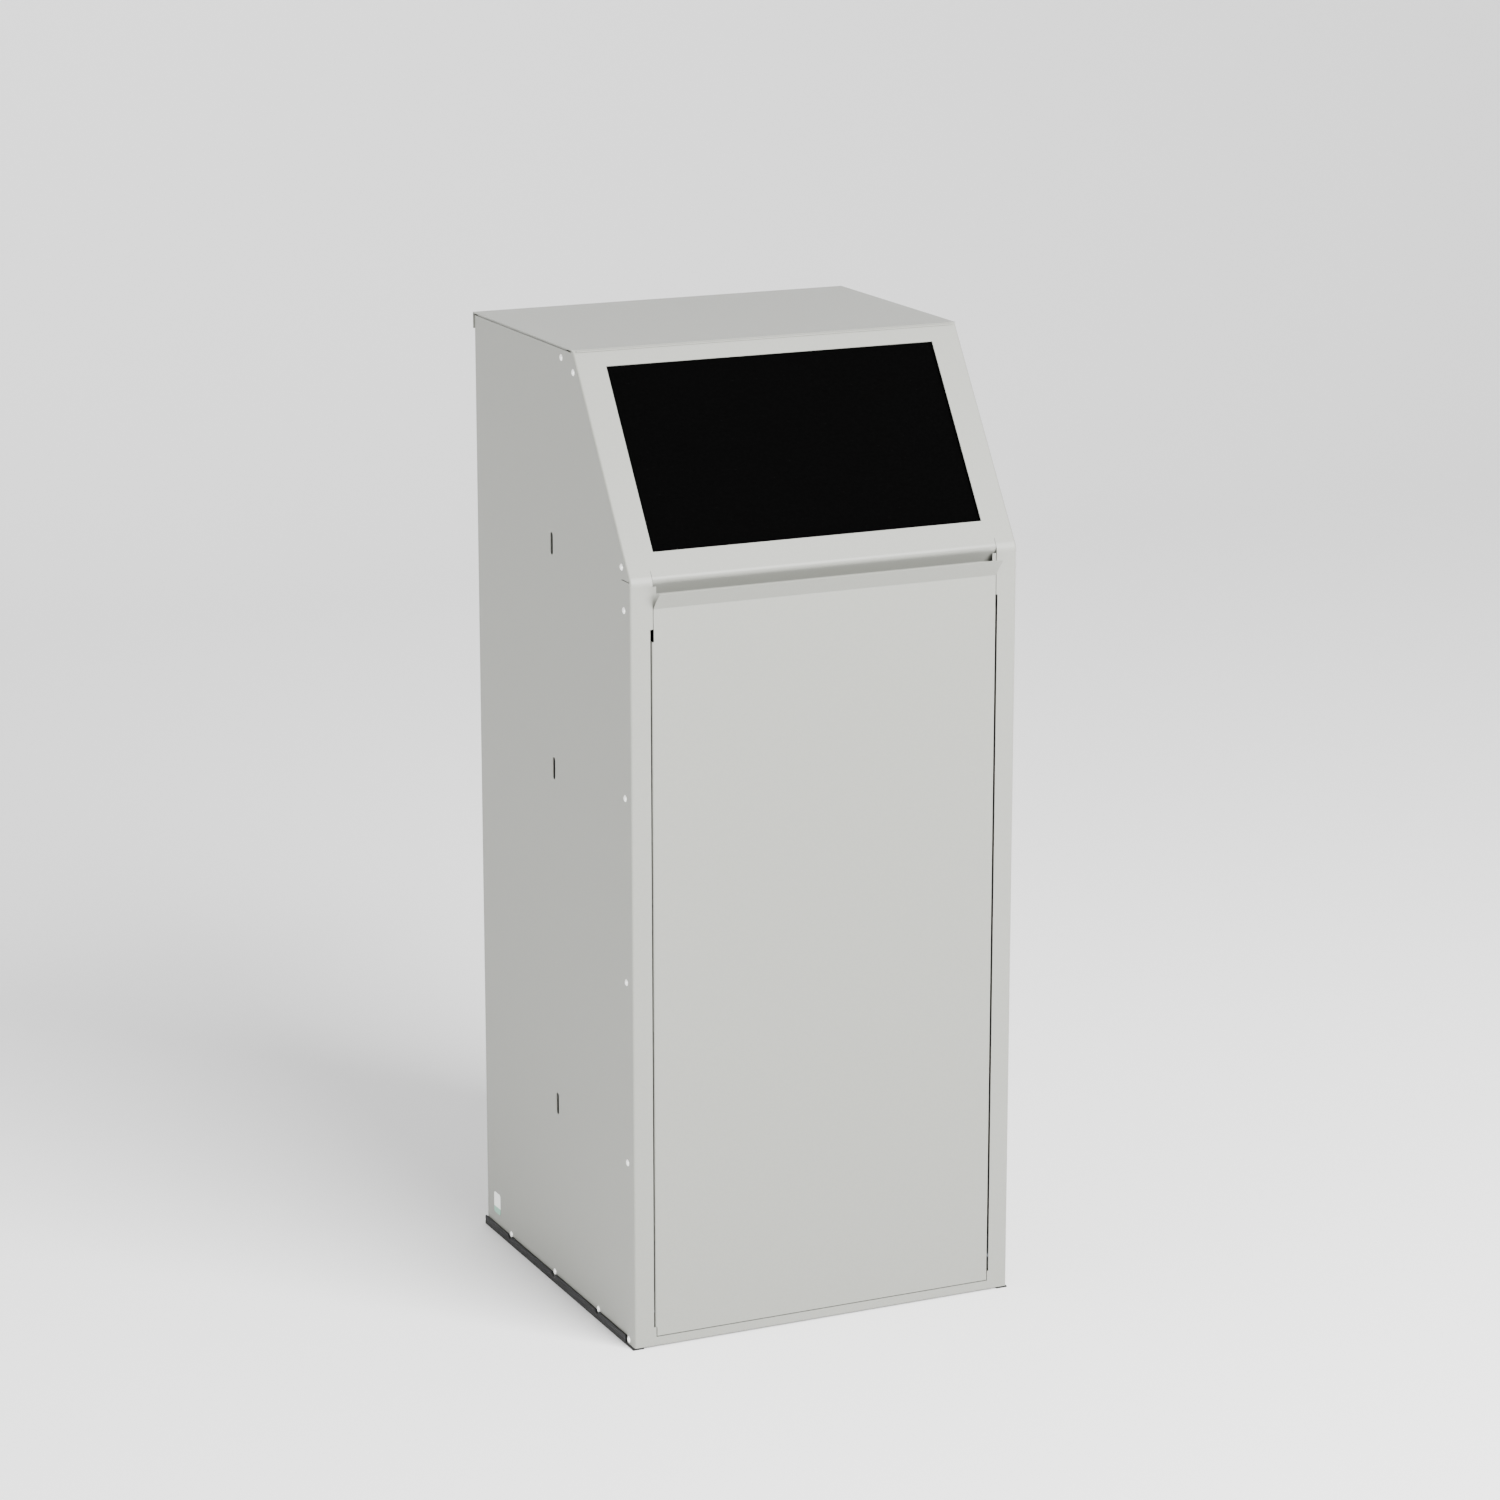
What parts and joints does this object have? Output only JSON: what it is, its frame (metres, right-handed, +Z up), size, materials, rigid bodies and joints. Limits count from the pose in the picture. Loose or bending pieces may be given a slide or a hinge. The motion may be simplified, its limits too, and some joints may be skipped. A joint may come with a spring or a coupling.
{
  "type": "recycling station",
  "caption": "Free-standing folded-steel waste collection cabinet with sloping sprung throw-in flap, tilting front door and inner bin.",
  "frame": {"origin": "on the floor, midway between the left and right edge trims, and between the door grip's edge and the rear rivet heads", "axes": "+X to the right as the user faces the cabinet's front, +Y to the rear, +Z up"},
  "size_m": [0.4028, 0.4001, 0.945],
  "materials": {
    "powder": "fine satin powder coat, light warm grey",
    "black": "satin black powder coat",
    "zinc": "bright zinc plate",
    "galvanised": "spangled galvanised sheet",
    "rubber": "matt",
    "nylon": "moulded",
    "magnet": "ground",
    "spring_steel": "drawn wire",
    "aluminium": "plain",
    "label": "smooth vinyl"
  },
  "bodies": {
    "cabinet": {"base_rivets_left": "aluminium", "base_rivets_right": "aluminium", "bin_ears": "galvanised", "bin_guide_left": "zinc", "bin_guide_right": "zinc", "bin_rear_stop": "zinc", "blank_label": "label", "body_wrap": "powder", "catch_housing_left": "nylon", "catch_housing_right": "nylon", "catch_magnet_left": "magnet", "catch_magnet_right": "magnet", "catch_rail": "powder", "catch_screws_left": "zinc", "catch_screws_right": "zinc", "corner_plates": "powder", "door_buffers": "rubber", "edge_trim_left": "rubber", "edge_trim_right": "rubber", "flap_bracket_left": "black", "flap_bracket_right": "black", "flap_bush_left": "nylon", "flap_bush_right": "nylon", "floor_pan": "powder", "front_panel": "powder", "front_rivets_left": "aluminium", "front_rivets_right": "aluminium", "inner_bin": "galvanised", "pivot_bracket_left": "zinc", "pivot_bracket_right": "zinc", "rear_rivets": "aluminium", "sill_rail": "powder", "top_cover": "powder", "top_rivets_left": "aluminium", "top_rivets_right": "aluminium"},
    "door": {"door_panel": "powder", "door_stiffeners": "powder", "door_pin_left": "zinc", "door_pin_right": "zinc"},
    "flap": {"flap_plate": "black", "flap_rod": "zinc", "flap_buffers": "rubber", "flap_rod_clip_left": "spring_steel", "flap_rod_clip_right": "spring_steel", "flap_spring_left": "spring_steel", "flap_spring_right": "spring_steel"},
    "left bin handle": {"bin_handle_left": "zinc"},
    "right bin handle": {"bin_handle_right": "zinc"}
  },
  "joints": [
    {"name": "door tilt", "type": "hinge", "parent": "cabinet", "child": "door", "pos_m": [0, -0.1806, 0.0355], "axis": [1, 0, 0], "range_deg": [0, 90]},
    {"name": "flap swing", "type": "hinge", "parent": "cabinet", "child": "flap", "pos_m": [0, -0.05281, 0.93265], "axis": [1, 0, 0], "range_deg": [0, 60], "stiffness_Nm_per_rad": 0.35, "springref_deg": -100.27, "deforming": ["flap_spring_left", "flap_spring_right"]},
    {"name": "left handle swing", "type": "hinge", "parent": "cabinet", "child": "left bin handle", "pos_m": [-0.154, 0.0059, 0.583], "axis": [0, 1, 0], "range_deg": [-3, 110]},
    {"name": "right handle swing", "type": "hinge", "parent": "cabinet", "child": "right bin handle", "pos_m": [0.154, 0.0059, 0.583], "axis": [0, -1, 0], "range_deg": [-3, 110]}
  ]
}
